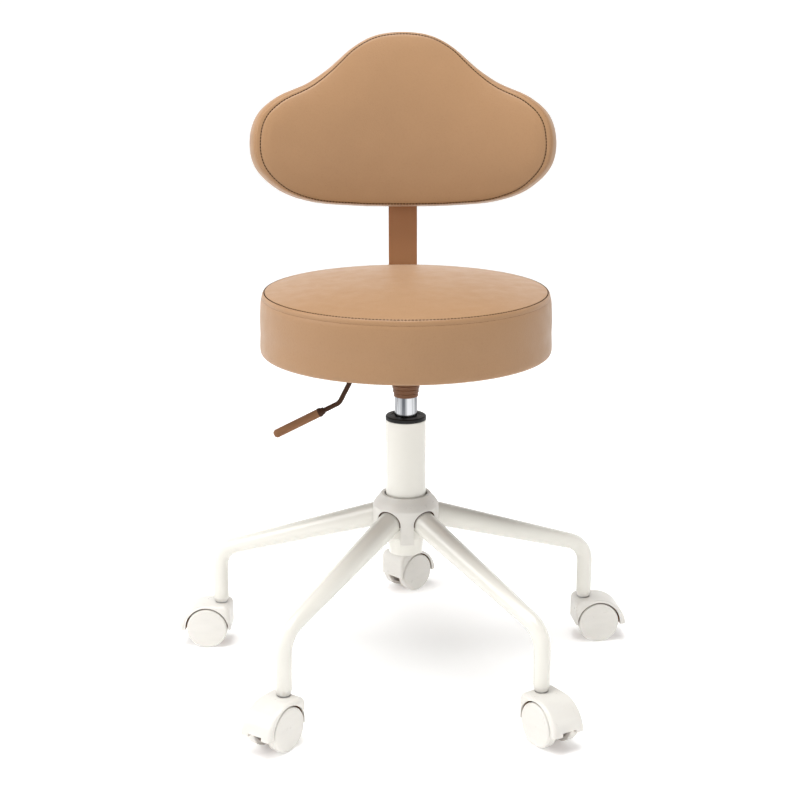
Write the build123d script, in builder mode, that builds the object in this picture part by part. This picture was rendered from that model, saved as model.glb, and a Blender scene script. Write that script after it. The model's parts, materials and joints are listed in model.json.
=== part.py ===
from build123d import *
import math
import os

# Rolling stylist stool. Millimetres, +Z up, origin on the floor under the column's axis.
# The sitter faces -Y, and the backrest stands on the +Y side.

# Driving dimensions: star base
STEM_CIRCLE_R = 252.0
BASE_TURN = 1.2
LEG_NAMES = ["rear", "left_rear", "left_front", "right_front", "right_rear"]
LEG_STEP = 72.0
LEG_DROP = 18.0
LEG_CORNER_Z = 130.6
LEG_HUB_R = 15.5
LEG_BEND_R = 10.0
LEG_FOOT_R = 9.5
LEG_WALL = 1.5
LEG_BEND_RADIUS = 32.0
LEG_FOOT_Z = 65.0
INSERT_FOOT_Z = 59.0
SLEEVE_R = 30.0
SLEEVE_LOW = 178.5
SLEEVE_HIGH = 226.0
COVER_R = 41.0
COVER_LOW = 174.5
COVER_WALL = 2.2
ARCH_R = 17.0

# Driving dimensions: casters
WHEEL_R = 26.5
WHEEL_WIDTH = 12.5
WHEEL_GAP = 20.0
CASTER_TRAIL = 17.5
HOOD_TOP = 57.3
HOOD_R = 36.6
HOOD_HALF = 22.0
HOOD_NOSE = 13.0
HOOD_REAR_LOW = 28.0
HOOD_WALL = 2.4
POCKET_START = 11.0
POCKET_HIGH = 20.0
HOOD_LOW = 24.0
HOOD_SEAT_Z = 56.5
HOOD_ROUND = 5.0
ARCH_LINER_R = 28.3
LINER_THICK = 0.8
LINER_HALF = 19.0
STEM_R = 5.5
AXLE_R = 3.0
RUNNING = 0.05
TRAIL_ANGLES = {
    "rear": 42.0,
    "left_rear": 177.0,
    "left_front": 234.0,
    "right_front": 302.0,
    "right_rear": 5.0,
}

# Driving dimensions: gas lift
COLUMN_R = 25.0
COLUMN_WALL = 1.5
COLUMN_LOW = 154.6
COLUMN_HIGH = 327.0
COLUMN_TAPER_TOP = 232.0
COLUMN_FOOT_R = 21.3
BUSH_TOP = 332.0
BUSH_LOW = 290.0
CYLINDER_R = 14.0
CYLINDER_LOW = 176.0
CYLINDER_HIGH = 395.0
CYLINDER_TAPER_LOW = 355.0
CYLINDER_TIP_R = 13.2
ROD_R = 5.0
SOCKET_LOW = 356.0
SOCKET_HIGH = 392.0
SOCKET_R = 18.0

# Driving dimensions: seat
SEAT_LOW = 415.7
SEAT_SEAM_R = 172.0
SEAT_SEAM_Z = 487.8
SEAT_TOP = 499.0
SEAT_BULGE_R = 176.6
SEAT_BULGE_Z = 454.0
SEAT_CORNER_R = 175.3
SEAT_CORNER = 6.0
HEM_R = 145.0
DUST_R = 152.0
DUST_LOW = 414.8
SKIN = 1.2
BOARD_R = 164.0
BOARD_LOW = 417.1
BOARD_HIGH = 429.0

# Driving dimensions: mechanism and lever
PLATE_HIGH = 414.7
PLATE_THICK = 2.5
PLATE_LENGTH = 150.0
PLATE_WIDTH = 124.0
PLATE_BOX_LOW = 386.0
PLATE_BOX_LENGTH = 74.0
PLATE_BOX_WIDTH = 48.0
PIN_R = 2.5
PLATE_BOLTS_X = 110.0
PLATE_BOLTS_Y = 84.0
BOLT_R = 3.0
LEVER_Z = 402.0
PIVOT_X = -24.0
LEVER_R = 3.0
GRIP_R = 5.3
GRIP_LENGTH = 65.5
BUTTON_R = 3.5
GRIP_START = (-104.0, 336.2)
GRIP_END = (-162.0, 307.0)
LEVER_KNEE = (-54.2, LEVER_Z)
ELBOW_BEFORE_GRIP = 25.1
BUTTON_TOP = 398.8

# Driving dimensions: backrest
BAR_WIDTH = 37.5
BAR_THICK = 6.0
BAR_FACE_Y = 187.0
BAR_START_Y = 66.0
BAR_BEND = 22.0
BACK_LEAN = 8.0
BAR_LENGTH = 288.0
BACK_BOTTOM = 146.2
BACK_HEIGHT = 220.8
BACK_HALF = 200.5
BACK_DEPTH = 45.0
BACK_WRAP_R = 700.0
BACK_BOARD = 10.0
BACK_BOLTS = [185.0, 225.0, 265.0]
# Half of the backrest's outline, as a distance from its middle and a share of its height
BACK_OUTLINE = [
    (0, 1.0),
    (38, 0.977),
    (66, 0.912),
    (98, 0.790),
    (126, 0.705),
    (168, 0.618),
    (191.5, 0.520),
    (BACK_HALF, 0.385),
    (195, 0.230),
    (166, 0.098),
    (125, 0.030),
    (66, 0.005),
    (0, 0.0),
]
BAR_BOLTS_Y = [86.0, 136.0]

UP = Vector(0, 0, 1)


def save(builder, name):
    """Label a finished piece and write it as one STEP file."""
    builder.part.label = name
    export_step(builder.part, f"parts/{name}.step")


def turn(points, plane=Plane.XZ, axis=Axis.Z, mode=Mode.ADD):
    """Revolve a closed outline of (radius, height) points."""
    with BuildSketch(plane) as profile:
        with BuildLine():
            Polyline(*points, close=True)
        make_face()
    revolve(profile.sketch, axis=axis, mode=mode)


def direction(angle):
    """Horizontal unit vector at an angle in degrees."""
    return Vector(math.cos(math.radians(angle)), math.sin(math.radians(angle)), 0)


def leg_angle(index):
    return 90 + BASE_TURN + LEG_STEP * index


# ---------------------------------------------------------------- star base


def column_radius(z):
    """Outer radius of the column, which tapers below the hub's top."""
    share = max(0.0, (COLUMN_TAPER_TOP - z) / (COLUMN_TAPER_TOP - COLUMN_LOW))
    return COLUMN_R - (COLUMN_R - COLUMN_FOOT_R) * share


def make_column_tube():
    floor_z = COLUMN_LOW + 3
    inner_foot = column_radius(floor_z) - COLUMN_WALL
    inner_top = COLUMN_R - COLUMN_WALL
    with BuildPart() as tube:
        turn([
            (ROD_R + 0.1, COLUMN_LOW),
            (COLUMN_FOOT_R - 0.6, COLUMN_LOW),
            (COLUMN_FOOT_R, COLUMN_LOW + 0.6),
            (COLUMN_R, COLUMN_TAPER_TOP),
            (COLUMN_R, COLUMN_HIGH - 0.7),
            (COLUMN_R - 0.7, COLUMN_HIGH),
            (inner_top, COLUMN_HIGH),
            (inner_top, COLUMN_TAPER_TOP),
            (inner_foot, floor_z),
            (ROD_R + 0.1, floor_z),
        ])
    save(tube, "column_tube")


def make_guide_bush():
    bore = CYLINDER_R + RUNNING
    body = COLUMN_R - COLUMN_WALL - 0.05
    with BuildPart() as bush:
        turn([
            (bore, BUSH_LOW),
            (body, BUSH_LOW),
            (body, COLUMN_HIGH + 0.02),
            (COLUMN_R, COLUMN_HIGH + 0.02),
            (COLUMN_R, BUSH_TOP - 1.2),
            (COLUMN_R - 1.2, BUSH_TOP),
            (18.5, BUSH_TOP),
            (17.0, BUSH_TOP - 1.0),
            (bore, BUSH_TOP - 1.0),
        ])
    save(bush, "guide_bush")


def make_thrust_bearing():
    seat_z = COLUMN_LOW + 3.02
    with BuildPart() as bearing:
        turn([(ROD_R + 0.3, seat_z), (15, seat_z), (15, seat_z + 1.5), (ROD_R + 0.3, seat_z + 1.5)])
        turn([(7.5, seat_z + 1.5), (13, seat_z + 1.5), (13, seat_z + 4.5), (7.5, seat_z + 4.5)])
        turn([(ROD_R + 0.3, seat_z + 4.5), (15, seat_z + 4.5), (15, seat_z + 6), (ROD_R + 0.3, seat_z + 6)])
    save(bearing, "thrust_bearing")


def make_hub_sleeve():
    gap = 0.02
    with BuildPart() as sleeve:
        turn([
            (column_radius(SLEEVE_LOW) + gap, SLEEVE_LOW),
            (SLEEVE_R - 1, SLEEVE_LOW),
            (SLEEVE_R, SLEEVE_LOW + 1),
            (SLEEVE_R, SLEEVE_HIGH - 1),
            (SLEEVE_R - 1, SLEEVE_HIGH),
            (column_radius(SLEEVE_HIGH) + gap, SLEEVE_HIGH),
        ])
    save(sleeve, "hub_sleeve")


def leg_axis_z(radius):
    """Height of the sloping leg's axis at a radius from the column."""
    return LEG_CORNER_Z + (STEM_CIRCLE_R - radius) * math.tan(math.radians(LEG_DROP))


def leg_slope(angle):
    """Unit vector along the sloping run, outwards and down."""
    drop = math.radians(LEG_DROP)
    return direction(angle) * math.cos(drop) - UP * math.sin(drop)


def leg_solid(angle, inset, mode=Mode.ADD):
    """One leg's run, bend and foot, with every radius less the inset."""
    outward = direction(angle)
    slope = leg_slope(angle)
    tangent = LEG_BEND_RADIUS * math.tan(math.radians((90 - LEG_DROP) / 2))
    root = outward * (SLEEVE_R - 12) + UP * leg_axis_z(SLEEVE_R - 12)
    corner = outward * STEM_CIRCLE_R + UP * LEG_CORNER_Z
    bend_start = corner - slope * tangent
    bend_end = corner - UP * tangent
    foot = outward * STEM_CIRCLE_R + UP * LEG_FOOT_Z
    with BuildSketch(Plane(origin=root, z_dir=slope)) as root_circle:
        Circle(LEG_HUB_R - inset)
    with BuildSketch(Plane(origin=bend_start, z_dir=slope)) as start_circle:
        Circle(LEG_BEND_R - inset)
    with BuildSketch(Plane(origin=bend_end, z_dir=-UP)) as end_circle:
        Circle(LEG_BEND_R - inset)
    with BuildSketch(Plane(origin=foot, z_dir=-UP)) as foot_circle:
        Circle(LEG_FOOT_R - inset)
    hinge = bend_end - outward * LEG_BEND_RADIUS
    loft([root_circle.sketch, start_circle.sketch], mode=mode)
    revolve(
        start_circle.sketch,
        axis=Axis(hinge, Vector(outward.Y, -outward.X, 0) * -1),
        revolution_arc=90 - LEG_DROP,
        mode=mode,
    )
    loft([end_circle.sketch, foot_circle.sketch], mode=mode)


def make_legs():
    for index, name in enumerate(LEG_NAMES):
        angle = leg_angle(index)
        with BuildPart() as leg:
            leg_solid(angle, 0)
            leg_solid(angle, LEG_WALL, mode=Mode.SUBTRACT)
            with Locations((0, 0, (SLEEVE_LOW + SLEEVE_HIGH) / 2)):
                Cylinder(SLEEVE_R, 3 * (SLEEVE_HIGH - SLEEVE_LOW), mode=Mode.SUBTRACT)
        save(leg, f"leg_{name}")


def make_hub_cover():
    with BuildPart() as cover:
        turn([
            (26.3, 229.6),
            (26.3, 231.2),
            (27.0, 232.0),
            (30.3, 231.7),
            (37.0, 223.7),
            (COVER_R - 0.8, 219.0),
            (COVER_R, 217.4),
            (COVER_R, COVER_LOW + 1.5),
            (COVER_R - 1.5, COVER_LOW),
            (COVER_R - COVER_WALL, COVER_LOW),
            (COVER_R - COVER_WALL, 217.2),
            (35.6, 221.8),
            (29.5, 229.0),
        ])
        for index in range(len(LEG_NAMES)):
            angle = leg_angle(index)
            outward = direction(angle)
            start = outward * 20 + UP * leg_axis_z(20)
            with BuildSketch(Plane(origin=start, z_dir=leg_slope(angle))):
                Circle(ARCH_R)
            extrude(amount=40, mode=Mode.SUBTRACT)
            below = outward * 33 + UP * (COVER_LOW - 5)
            with BuildSketch(Plane(origin=below, x_dir=outward, z_dir=UP)):
                Rectangle(26, 2 * ARCH_R)
            extrude(amount=leg_axis_z(COVER_R) - COVER_LOW + 5, mode=Mode.SUBTRACT)
    save(cover, "hub_cover")


def stem_places():
    """Where each caster stem stands, on the floor plane."""
    return [direction(leg_angle(index)) * STEM_CIRCLE_R for index in range(len(LEG_NAMES))]


def make_leg_inserts():
    inner = LEG_FOOT_R - LEG_WALL - 0.1
    with BuildPart() as inserts:
        for place in stem_places():
            plane = Plane(origin=place, x_dir=(1, 0, 0), z_dir=(0, -1, 0))
            axis = Axis(place, UP)
            turn([
                (STEM_R + 0.02, INSERT_FOOT_Z),
                (8.0, INSERT_FOOT_Z),
                (LEG_FOOT_R, LEG_FOOT_Z - 1.2),
                (LEG_FOOT_R, LEG_FOOT_Z - 0.02),
                (inner, LEG_FOOT_Z - 0.02),
                (inner - 0.1, 90),
                (STEM_R + 0.02, 90),
            ], plane=plane, axis=axis)
    save(inserts, "leg_inserts")


def make_caster_stems():
    """Fixed stems: a flange under each leg, and a journal that the caster turns on."""
    with BuildPart() as stems:
        for place in stem_places():
            plane = Plane(origin=place, x_dir=(1, 0, 0), z_dir=(0, -1, 0))
            axis = Axis(place, UP)
            turn([
                (0, 35.0),
                (3.2, 35.0),
                (4.0, 35.8),
                (4.0, 57.0),
                (7.2, 57.0),
                (7.2, INSERT_FOOT_Z - 0.02),
                (STEM_R, INSERT_FOOT_Z - 0.02),
                (STEM_R, 87.0),
                (STEM_R - 1, 88.0),
                (0, 88.0),
            ], plane=plane, axis=axis)
    save(stems, "caster_stems")


# ---------------------------------------------------------------- casters


def caster_frame(name):
    """Stem foot, axle centre, and the directions behind and beside a caster."""
    stem = stem_places()[LEG_NAMES.index(name)]
    behind = direction(TRAIL_ANGLES[name])
    beside = Vector(behind.Y, -behind.X, 0)
    axle = stem + behind * CASTER_TRAIL + UP * WHEEL_R
    return stem, axle, behind, beside


def hood_outline(inset):
    """Side outline of the hood about the axle: a flat top, a round back and a nose under the stem."""
    nose = -(CASTER_TRAIL + HOOD_NOSE) + inset
    top = HOOD_TOP - WHEEL_R - inset
    radius = HOOD_R - inset
    low = -14.0
    nose_round = 9.0
    with BuildLine() as line:
        front = Line((nose, low), (nose, top - nose_round))
        corner = RadiusArc(front @ 1, (nose + nose_round, top), nose_round)
        flat = Line(corner @ 1, (0, top))
        back = TangentArc(flat @ 1, (radius, top - radius), tangent=(1, 0))
        heel = Line(back @ 1, (radius, low))
        Line(heel @ 1, front @ 0)
    return line.line


def make_hood(name):
    stem, axle, behind, beside = caster_frame(name)
    side = Plane(origin=axle, x_dir=behind, z_dir=beside)
    with BuildPart() as hood:
        with BuildSketch(side):
            make_face(hood_outline(0).edges())
        extrude(amount=HOOD_HALF, both=True)
        flanks = hood.faces().sort_by(Axis(axle, beside))
        rims = flanks[0].edges() + flanks[-1].edges()
        fillet(rims.filter_by(lambda e: (e.center() - axle).Z > -13), radius=HOOD_ROUND)
        with BuildSketch(side):
            make_face(hood_outline(HOOD_WALL).edges())
            with Locations((HOOD_R, HOOD_REAR_LOW - WHEEL_R)):
                Rectangle(30, 40, align=(Align.CENTER, Align.MAX))
        extrude(amount=WHEEL_GAP / 2 - 0.2, both=True, mode=Mode.SUBTRACT)
        with BuildSketch(side):
            Circle(ARCH_LINER_R + LINER_THICK + 0.1)
        extrude(amount=LINER_HALF + 0.1, both=True, mode=Mode.SUBTRACT)
        with BuildSketch(side):
            Circle(ARCH_LINER_R)
        extrude(amount=HOOD_HALF + 1, both=True, mode=Mode.SUBTRACT)
        with BuildSketch(side.offset(-HOOD_HALF - 5)):
            with Locations((0, HOOD_LOW - WHEEL_R - 20)):
                Rectangle(120, 40)
        extrude(amount=2 * HOOD_HALF + 10, mode=Mode.SUBTRACT)
        with BuildSketch(Plane(origin=stem + UP * HOOD_SEAT_Z, z_dir=UP)):
            Circle(8.2)
        extrude(amount=12, mode=Mode.SUBTRACT)
        with BuildSketch(Plane(origin=stem + UP * 40, z_dir=UP)):
            Circle(4.4)
        extrude(amount=20, mode=Mode.SUBTRACT)
    save(hood, f"{name}_hood")


def make_caster_body(name):
    """Inner housing: a fin with the stem bore and axle bore, and a liner in each wheel arch."""
    stem, axle, behind, beside = caster_frame(name)
    side = Plane(origin=axle, x_dir=behind, z_dir=beside)
    fin_half = WHEEL_GAP / 2 - 0.6
    liner_low = HOOD_LOW - WHEEL_R
    with BuildPart() as body:
        with BuildSketch(side):
            make_face(hood_outline(HOOD_WALL + 0.2).edges())
            with Locations((0, -30 + liner_low)):
                Rectangle(120, 60, mode=Mode.SUBTRACT)
            Circle(8.5)
        extrude(amount=fin_half, both=True)
        with BuildSketch(side):
            with Locations((POCKET_START, liner_low - 1)):
                Rectangle(16, POCKET_HIGH, align=(Align.MIN, Align.MIN))
        extrude(amount=fin_half - 2, both=True, mode=Mode.SUBTRACT)
        with BuildSketch(side):
            with Locations((POCKET_START + 16 + 1, liner_low - 1)):
                Rectangle(20, HOOD_REAR_LOW - HOOD_LOW + 1, align=(Align.MIN, Align.MIN))
        extrude(amount=fin_half, both=True, mode=Mode.SUBTRACT)
        with BuildSketch(side):
            Circle(ARCH_LINER_R + LINER_THICK)
            Circle(ARCH_LINER_R, mode=Mode.SUBTRACT)
            with Locations((0, -30 + liner_low)):
                Rectangle(120, 60, mode=Mode.SUBTRACT)
        extrude(amount=LINER_HALF, both=True)
        with BuildSketch(side):
            Circle(AXLE_R + 0.01)
        extrude(amount=fin_half + 1, both=True, mode=Mode.SUBTRACT)
        with BuildSketch(Plane(origin=stem + UP * 34.5, z_dir=UP)):
            Circle(4.0 + RUNNING)
        extrude(amount=25, mode=Mode.SUBTRACT)
    save(body, f"{name}_caster_body")


def make_axle(name):
    _, axle, behind, beside = caster_frame(name)
    with BuildPart() as pin:
        with BuildSketch(Plane(origin=axle, x_dir=behind, z_dir=beside)):
            Circle(AXLE_R)
        extrude(amount=WHEEL_GAP / 2 + WHEEL_WIDTH - 4, both=True)
        chamfer(pin.edges(), 0.5)
    save(pin, f"{name}_axle")


def make_wheels(name):
    inner = WHEEL_GAP / 2
    outer = inner + WHEEL_WIDTH
    bore = AXLE_R + RUNNING
    for hand, sign in (("l", -1), ("r", 1)):
        _, axle, _, beside = caster_frame(name)
        across = beside * sign
        plane = Plane(origin=axle, x_dir=across, z_dir=across.cross(UP))
        with BuildPart() as wheel:
            with BuildSketch(plane):
                with BuildLine():
                    Polyline((outer - 3, WHEEL_R), (inner + 1, WHEEL_R), (inner, WHEEL_R - 1))
                    Polyline(
                        (inner, WHEEL_R - 1),
                        (inner, WHEEL_R - 4.5),
                        (outer - 5, WHEEL_R - 4.5),
                        (outer - 5, 7),
                        (inner, 7),
                        (inner, bore),
                        (outer - 3.5, bore),
                        (outer - 3.5, 0),
                        (outer + 0.8, 0),
                    )
                    ThreePointArc((outer + 0.8, 0), (outer + 0.6, 11), (outer, WHEEL_R - 3))
                    RadiusArc((outer, WHEEL_R - 3), (outer - 3, WHEEL_R), -3)
                make_face()
            revolve(axis=Axis(axle, across))
        save(wheel, f"{name}_wheel_{hand}")


# ---------------------------------------------------------------- gas lift


def cylinder_radius(z):
    """Outer radius of the chrome cylinder, which tapers into the seat's socket."""
    share = max(0.0, (z - CYLINDER_TAPER_LOW) / (CYLINDER_HIGH - CYLINDER_TAPER_LOW))
    return CYLINDER_R - (CYLINDER_R - CYLINDER_TIP_R) * share


def make_gas_cylinder():
    wall = 2.0
    with BuildPart() as cylinder:
        turn([
            (ROD_R + RUNNING, CYLINDER_LOW),
            (CYLINDER_R - 1, CYLINDER_LOW),
            (CYLINDER_R, CYLINDER_LOW + 1),
            (CYLINDER_R, CYLINDER_TAPER_LOW),
            (cylinder_radius(CYLINDER_HIGH - 1), CYLINDER_HIGH - 1),
            (CYLINDER_TIP_R - 1, CYLINDER_HIGH),
            (BUTTON_R + RUNNING, CYLINDER_HIGH),
            (BUTTON_R + RUNNING, CYLINDER_HIGH - 11),
            (0, CYLINDER_HIGH - 11),
            (0, CYLINDER_HIGH - 23),
            (CYLINDER_R - wall, CYLINDER_HIGH - 23),
            (CYLINDER_R - wall, CYLINDER_LOW + 8),
            (ROD_R + RUNNING, CYLINDER_LOW + 8),
        ])
    save(cylinder, "gas_cylinder")


def make_piston_rod():
    shoulder = COLUMN_LOW + 9.1
    piston = CYLINDER_R - 2 - RUNNING
    with BuildPart() as rod:
        turn([
            (0, COLUMN_LOW - 4),
            (ROD_R - 0.6, COLUMN_LOW - 4),
            (ROD_R, COLUMN_LOW - 3.4),
            (ROD_R, shoulder),
            (9, shoulder),
            (9, shoulder + 2),
            (ROD_R, shoulder + 2),
            (ROD_R, 338),
            (piston, 338),
            (piston, 346),
            (0, 346),
        ])
    save(rod, "piston_rod")


def make_rod_clip():
    with BuildPart() as clip:
        turn([
            (ROD_R + 0.01, COLUMN_LOW - 1.6),
            (9, COLUMN_LOW - 1.6),
            (9, COLUMN_LOW - 0.2),
            (ROD_R + 0.01, COLUMN_LOW - 0.2),
        ])
    save(clip, "rod_clip")


def make_stop_buffer():
    low = COLUMN_LOW + 11.15
    with BuildPart() as buffer:
        turn([
            (ROD_R + 0.1, low),
            (11, low),
            (11.6, low + 4.5),
            (11, CYLINDER_LOW - 0.1),
            (ROD_R + 0.1, CYLINDER_LOW - 0.1),
        ])
    save(buffer, "stop_buffer")


def make_release_button():
    with BuildPart() as button:
        turn([
            (0, CYLINDER_HIGH - 7),
            (BUTTON_R, CYLINDER_HIGH - 7),
            (BUTTON_R, BUTTON_TOP - 1),
            (BUTTON_R - 1.5, BUTTON_TOP),
            (0, BUTTON_TOP),
        ])
    save(button, "release_button")


def make_taper_socket():
    gap = 0.02
    steps = [(15.0, 356.0), (15.9, 361.2), (16.8, 366.4), (17.5, 371.6), (SOCKET_R, 377.0)]
    outline = [(cylinder_radius(SOCKET_LOW) + gap, SOCKET_LOW)]
    for (radius, low), (_, high) in zip(steps, steps[1:]):
        outline += [(radius - 0.5, low), (radius, low + 0.6), (radius, high - 0.9), (radius - 0.7, high)]
    outline += [
        (SOCKET_R, 377.4),
        (SOCKET_R, SOCKET_HIGH),
        (cylinder_radius(SOCKET_HIGH) + gap, SOCKET_HIGH),
    ]
    with BuildPart() as socket:
        turn(outline)
    save(socket, "taper_socket")


# ---------------------------------------------------------------- mechanism and lever


def make_seat_plate():
    """Pressed plate under the seat board with a welded box for the socket and the lever."""
    low = PLATE_HIGH - PLATE_THICK
    wall = PLATE_THICK
    box_low = PLATE_BOX_LOW
    with BuildPart() as plate:
        with BuildSketch(Plane.XY.offset(low)):
            with Locations((0, -2)):
                RectangleRounded(PLATE_LENGTH, PLATE_WIDTH, 14)
        extrude(amount=PLATE_THICK)
        with BuildSketch(Plane.XY.offset(box_low)):
            Rectangle(PLATE_BOX_LENGTH, PLATE_BOX_WIDTH)
        extrude(amount=low - box_low)
        with BuildSketch(Plane.XY.offset(box_low + wall)):
            with Locations((-wall, 0)):
                Rectangle(PLATE_BOX_LENGTH, PLATE_BOX_WIDTH - 2 * wall)
        extrude(amount=low - box_low - wall, mode=Mode.SUBTRACT)
        with BuildSketch(Plane.XY.offset(box_low - 1)):
            Circle(SOCKET_R + 0.02)
        extrude(amount=wall + 2, mode=Mode.SUBTRACT)
        with BuildSketch(Plane(origin=(PIVOT_X, 30, LEVER_Z), z_dir=(0, -1, 0))):
            Circle(PIN_R + 0.01)
        extrude(amount=60, mode=Mode.SUBTRACT)
        with BuildSketch(Plane.XY.offset(low - 1)):
            with GridLocations(PLATE_BOLTS_X, PLATE_BOLTS_Y, 2, 2):
                Circle(BOLT_R + 0.3)
        extrude(amount=PLATE_THICK + 2, mode=Mode.SUBTRACT)
    save(plate, "seat_plate")


def make_lever_pin():
    with BuildPart() as pin:
        with BuildSketch(Plane(origin=(PIVOT_X, 0, LEVER_Z), z_dir=(0, 1, 0))):
            Circle(PIN_R)
        extrude(amount=25.5, both=True)
        with BuildSketch(Plane(origin=(PIVOT_X, 25.5, LEVER_Z), z_dir=(0, 1, 0))):
            Circle(4.0)
        extrude(amount=1.5)
    save(pin, "lever_pin")


def grip_direction():
    run = Vector(GRIP_END[0] - GRIP_START[0], 0, GRIP_END[1] - GRIP_START[1])
    return run.normalized()


def make_lever_rod():
    along = grip_direction()
    elbow = (GRIP_START[0] - along.X * ELBOW_BEFORE_GRIP, GRIP_START[1] - along.Z * ELBOW_BEFORE_GRIP)
    rod_end = (GRIP_START[0] + along.X * 50, GRIP_START[1] + along.Z * 50)
    with BuildPart() as rod:
        with BuildLine(Plane.XZ):
            FilletPolyline((0.5, LEVER_Z), LEVER_KNEE, elbow, rod_end, radius=12)
        with BuildSketch(Plane(origin=(0.5, 0, LEVER_Z), z_dir=(-1, 0, 0))):
            Circle(LEVER_R)
        sweep()
        with BuildSketch(Plane(origin=(PIVOT_X, 0, LEVER_Z), z_dir=(0, 1, 0))):
            Circle(5.2)
        extrude(amount=21.2, both=True)
        with BuildSketch(Plane(origin=(PIVOT_X, 0, LEVER_Z), z_dir=(0, 1, 0))):
            Circle(PIN_R + RUNNING)
        extrude(amount=22, both=True, mode=Mode.SUBTRACT)
    save(rod, "lever_rod")


def make_lever_grip():
    start = Vector(GRIP_START[0], 0, GRIP_START[1])
    plane = Plane(origin=start, z_dir=grip_direction())
    with BuildPart() as grip:
        with BuildSketch(plane):
            Circle(GRIP_R)
        extrude(amount=GRIP_LENGTH)
        far = grip.faces().sort_by(Axis(start, grip_direction()))[-1]
        fillet(far.edges(), radius=GRIP_R - 0.8)
        near = grip.faces().sort_by(Axis(start, grip_direction()))[0]
        fillet(near.edges(), radius=1.0)
        with BuildSketch(plane.offset(-1)):
            Circle(LEVER_R + 0.02)
        extrude(amount=51.1, mode=Mode.SUBTRACT)
    save(grip, "lever_grip")


# ---------------------------------------------------------------- seat


def seat_solid(inset, mode=Mode.ADD):
    """The round cushion's body, with every surface moved inwards by the inset."""
    low = SEAT_LOW + inset
    with BuildSketch(Plane.XZ) as half:
        with BuildLine():
            bottom = Line((0, low), (SEAT_CORNER_R - SEAT_CORNER, low))
            corner_end = (SEAT_CORNER_R - inset, SEAT_LOW + SEAT_CORNER)
            corner = TangentArc(bottom @ 1, corner_end, tangent=(1, 0.05))
            middle = (SEAT_BULGE_R - inset, SEAT_BULGE_Z)
            band = ThreePointArc(corner @ 1, middle, (SEAT_SEAM_R - inset, SEAT_SEAM_Z - inset))
            TangentArc((0, SEAT_TOP - inset), band @ 1, tangent=(1, 0))
            Line((0, SEAT_TOP - inset), bottom @ 0)
        make_face()
    revolve(half.sketch, axis=Axis.Z, mode=mode)


def bolt_places():
    """Centres of the seat's bolts, four in the plate and two in the back bar."""
    plate = [
        (x * PLATE_BOLTS_X / 2, y * PLATE_BOLTS_Y / 2)
        for x in (-1, 1)
        for y in (-1, 1)
    ]
    return plate + [(0, y) for y in BAR_BOLTS_Y]


def make_seat_cover():
    with BuildPart() as cover:
        seat_solid(0)
        seat_solid(SKIN, mode=Mode.SUBTRACT)
        with BuildSketch(Plane.XY.offset(SEAT_LOW - 1)):
            Circle(HEM_R)
        extrude(amount=SKIN + 2, mode=Mode.SUBTRACT)
    save(cover, "seat_cover")


def make_seat_foam():
    with BuildPart() as foam:
        seat_solid(SKIN + 0.3)
        with BuildSketch(Plane.XY.offset(SEAT_LOW - 1)):
            Circle(SEAT_BULGE_R + 10)
        extrude(amount=BOARD_HIGH + 1.6 - SEAT_LOW + 1, mode=Mode.SUBTRACT)
    save(foam, "seat_foam")


def make_seat_board():
    with BuildPart() as board:
        with BuildSketch(Plane.XY.offset(BOARD_LOW)):
            Circle(BOARD_R)
            with Locations(*bolt_places()):
                Circle(4.1, mode=Mode.SUBTRACT)
        extrude(amount=BOARD_HIGH - BOARD_LOW)
    save(board, "seat_board")


def make_dust_cover():
    with BuildPart() as cover:
        hem = SEAT_LOW - 0.2
        top = BOARD_LOW - 0.1
        turn([(0, DUST_LOW), (DUST_R, DUST_LOW), (DUST_R, hem), (HEM_R - 1, hem), (HEM_R - 1, top), (0, top)])
        with BuildSketch(Plane.XY.offset(DUST_LOW - 1)):
            with Locations(*bolt_places()):
                Circle(4.5)
        extrude(amount=4, mode=Mode.SUBTRACT)
    save(cover, "dust_cover")


def make_staples():
    with BuildPart() as staples:
        with BuildSketch(Plane.XY.offset(DUST_LOW - 0.7)):
            with PolarLocations(147.5, 18):
                RectangleRounded(1.4, 10, 0.5)
        extrude(amount=0.65)
    save(staples, "dust_cover_staples")


def make_tee_nuts():
    """One tee nut for each bolt, pressed into the seat board and the backrest board."""
    board_front = SKIN + 0.4 + BACK_BOARD
    bolt_faces = [
        (Plane.XY.offset(BOARD_HIGH), bolt_places()),
        (back_plane().offset(board_front), [(0, s) for s in BACK_BOLTS]),
    ]
    with BuildPart() as nuts:
        for face, places in bolt_faces:
            with BuildSketch(face.offset(-8)):
                with Locations(*places):
                    Circle(4.0)
                    Circle(BOLT_R + 0.02, mode=Mode.SUBTRACT)
            extrude(amount=8.15)
            with BuildSketch(face.offset(0.1)):
                with Locations(*places):
                    Circle(8.0)
                    Circle(BOLT_R + 0.02, mode=Mode.SUBTRACT)
            extrude(amount=1.3)
    save(nuts, "tee_nuts")


def upward_bolts(places, seat_z, name):
    """Hexagon-headed bolts that rise from a face at seat_z into the seat board."""
    with BuildPart() as bolts:
        with BuildSketch(Plane.XY.offset(seat_z - 4)):
            with Locations(*places):
                RegularPolygon(5.6, 6)
        extrude(amount=4 - 0.02)
        with BuildSketch(Plane.XY.offset(seat_z - 1)):
            with Locations(*places):
                Circle(BOLT_R)
        extrude(amount=BOARD_HIGH - seat_z)
    save(bolts, name)


# ---------------------------------------------------------------- backrest


def back_plane(reach=0.0):
    """Plane on the bar's leaning front face; local Y runs up it and Z faces the sitter."""
    lean = math.radians(BACK_LEAN)
    up_bar = Vector(0, math.sin(lean), math.cos(lean))
    toward = Vector(0, -math.cos(lean), math.sin(lean))
    origin = Vector(0, BAR_FACE_Y, SEAT_LOW) + up_bar * reach
    return Plane(origin=origin, x_dir=(1, 0, 0), z_dir=toward)


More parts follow.
